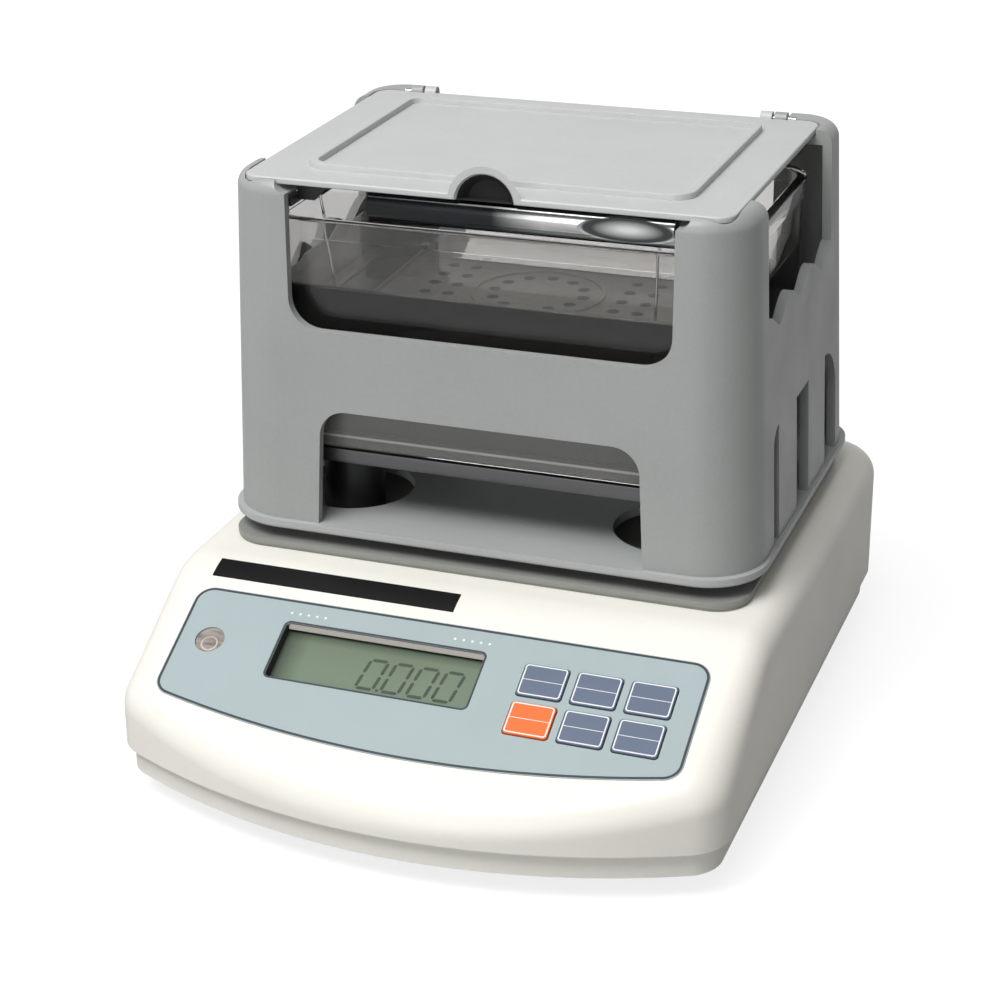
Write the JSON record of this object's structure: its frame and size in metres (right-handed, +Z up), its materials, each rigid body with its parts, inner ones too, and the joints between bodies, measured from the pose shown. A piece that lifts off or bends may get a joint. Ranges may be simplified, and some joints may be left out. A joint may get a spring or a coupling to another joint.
{
  "type": "soil density tester",
  "caption": "Bench densimeter: cream housing with sloping control panel, keys and display, weighing frame with hinged lid over a clear water tank with a hanging tray.",
  "frame": {"origin": "centre of the footprint on the surface that the feet stand on", "axes": "+Z up, -Y to the bowed front with the control panel, +X to the right as seen from the front"},
  "size_m": [0.195, 0.242, 0.1929],
  "materials": {
    "housing_cream": "fine textured, satin",
    "housing_lower": "fine textured, satin",
    "steel_sheet": "zinc plated",
    "stage_grey": "fine textured, satin",
    "bar_steel": "polished",
    "overlay_blue": "fine matte film",
    "strip_black": "satin film",
    "bezel_pale": "satin",
    "lcd_green": "anti-glare",
    "vial_liquid": "clear liquid",
    "holder_brown": "satin",
    "board_green": "solder resist",
    "switch_black": "moulded",
    "cell_aluminium": "anodised",
    "brass_part": "turned",
    "post_black": "moulded",
    "pad_rubber": "matte",
    "platform_metal": "satin",
    "screw_steel": "plated",
    "port_metal": "nickel plated",
    "frame_grey": "fine textured, satin",
    "base_grey": "fine textured, satin",
    "lid_grey": "fine textured, satin",
    "tank_clear": "clear polished",
    "rail_black": "moulded",
    "wire_steel": "drawn wire",
    "tray_steel": "stamped",
    "key_grey": "satin",
    "key_orange": "satin"
  },
  "bodies": {
    "base": {"upper_shell": "housing_cream", "lower_shell": "housing_lower", "chassis_plate": "steel_sheet", "stage_plate": "stage_grey", "control_overlay": "overlay_blue", "label_strip": "strip_black", "lcd_bezel": "bezel_pale", "lcd_module": "lcd_green", "level_vial": "vial_liquid", "level_holder": "holder_brown", "display_board": "board_green", "key_switches": "switch_black", "main_board": "board_green", "load_cell": "cell_aluminium", "cell_base_block": "steel_sheet", "overload_stop": "brass_part", "tank_posts": "post_black", "post_pads": "pad_rubber", "tank_platform": "platform_metal", "dc_inlet": "switch_black", "serial_port": "port_metal", "switch_housing": "switch_black", "shell_screws": "screw_steel", "cell_screws": "screw_steel"},
    "frame": {"weighing_frame": "frame_grey", "frame_base": "base_grey", "spigot": "steel_sheet", "cell_top_bracket": "steel_sheet", "frame_screws": "screw_steel", "bracket_screws": "screw_steel", "hinge_pins": "screw_steel", "hanger_ledges": "frame_grey"},
    "lid": {"lid": "lid_grey", "lid_bar": "bar_steel"},
    "tank": {"tank": "tank_clear"},
    "basket": {"hanger_rails": "rail_black", "hanger_wires": "wire_steel", "basket_tray": "tray_steel"},
    "key_rear_left": {"key_rear_left": "key_grey"},
    "key_rear_middle": {"key_rear_middle": "key_grey"},
    "key_rear_right": {"key_rear_right": "key_grey"},
    "key_front_left": {"key_front_left": "key_orange"},
    "key_front_middle": {"key_front_middle": "key_grey"},
    "key_front_right": {"key_front_right": "key_grey"},
    "power_rocker": {"power_rocker": "switch_black"},
    "foot_fl": {"foot_wheel_fl": "switch_black", "foot_pad_fl": "pad_rubber"},
    "foot_fr": {"foot_wheel_fr": "switch_black", "foot_pad_fr": "pad_rubber"},
    "foot_rl": {"foot_wheel_rl": "switch_black", "foot_pad_rl": "pad_rubber"},
    "foot_rr": {"foot_wheel_rr": "switch_black", "foot_pad_rr": "pad_rubber"}
  },
  "joints": [
    {"name": "weigh_slide", "type": "slide", "parent": "base", "child": "frame", "axis": [0, 0, 1], "range_m": [-0.0002, 0], "stiffness_N_per_m": 25000, "springref_m": 0.0008},
    {"name": "lid_hinge", "type": "hinge", "parent": "frame", "child": "lid", "pos_m": [0, 0.0852, 0.1836], "axis": [-1, 0, 0], "range_deg": [0, 105]},
    {"name": "tank_lift", "type": "slide", "parent": "base", "child": "tank", "axis": [0, 0, 1], "range_m": [0, 0.0015]},
    {"name": "basket_lift", "type": "slide", "parent": "frame", "child": "basket", "axis": [0, 0, 1], "range_m": [0, 0.0008]},
    {"name": "key_rear_left_press", "type": "slide", "parent": "base", "child": "key_rear_left", "axis": [0, 0.454, -0.891], "range_m": [0, 0.0004], "stiffness_N_per_m": 1500, "springref_m": -0.0005},
    {"name": "key_rear_middle_press", "type": "slide", "parent": "base", "child": "key_rear_middle", "axis": [0, 0.454, -0.891], "range_m": [0, 0.0004], "stiffness_N_per_m": 1500, "springref_m": -0.0005},
    {"name": "key_rear_right_press", "type": "slide", "parent": "base", "child": "key_rear_right", "axis": [0, 0.454, -0.891], "range_m": [0, 0.0004], "stiffness_N_per_m": 1500, "springref_m": -0.0005},
    {"name": "key_front_left_press", "type": "slide", "parent": "base", "child": "key_front_left", "axis": [0, 0.454, -0.891], "range_m": [0, 0.0004], "stiffness_N_per_m": 1500, "springref_m": -0.0005},
    {"name": "key_front_middle_press", "type": "slide", "parent": "base", "child": "key_front_middle", "axis": [0, 0.454, -0.891], "range_m": [0, 0.0004], "stiffness_N_per_m": 1500, "springref_m": -0.0005},
    {"name": "key_front_right_press", "type": "slide", "parent": "base", "child": "key_front_right", "axis": [0, 0.454, -0.891], "range_m": [0, 0.0004], "stiffness_N_per_m": 1500, "springref_m": -0.0005},
    {"name": "power_rocker_tilt", "type": "hinge", "parent": "base", "child": "power_rocker", "pos_m": [0.055, 0.1155, 0.035], "axis": [1, 0, 0], "range_deg": [0, 16]},
    {"name": "foot_fl_turn", "type": "hinge", "parent": "base", "child": "foot_fl", "pos_m": [-0.072, -0.08, 0], "axis": [0, 0, 1], "continuous": true},
    {"name": "foot_fr_turn", "type": "hinge", "parent": "base", "child": "foot_fr", "pos_m": [0.072, -0.08, 0], "axis": [0, 0, 1], "continuous": true},
    {"name": "foot_rl_turn", "type": "hinge", "parent": "base", "child": "foot_rl", "pos_m": [-0.072, 0.092, 0], "axis": [0, 0, 1], "continuous": true},
    {"name": "foot_rr_turn", "type": "hinge", "parent": "base", "child": "foot_rr", "pos_m": [0.072, 0.092, 0], "axis": [0, 0, 1], "continuous": true}
  ]
}
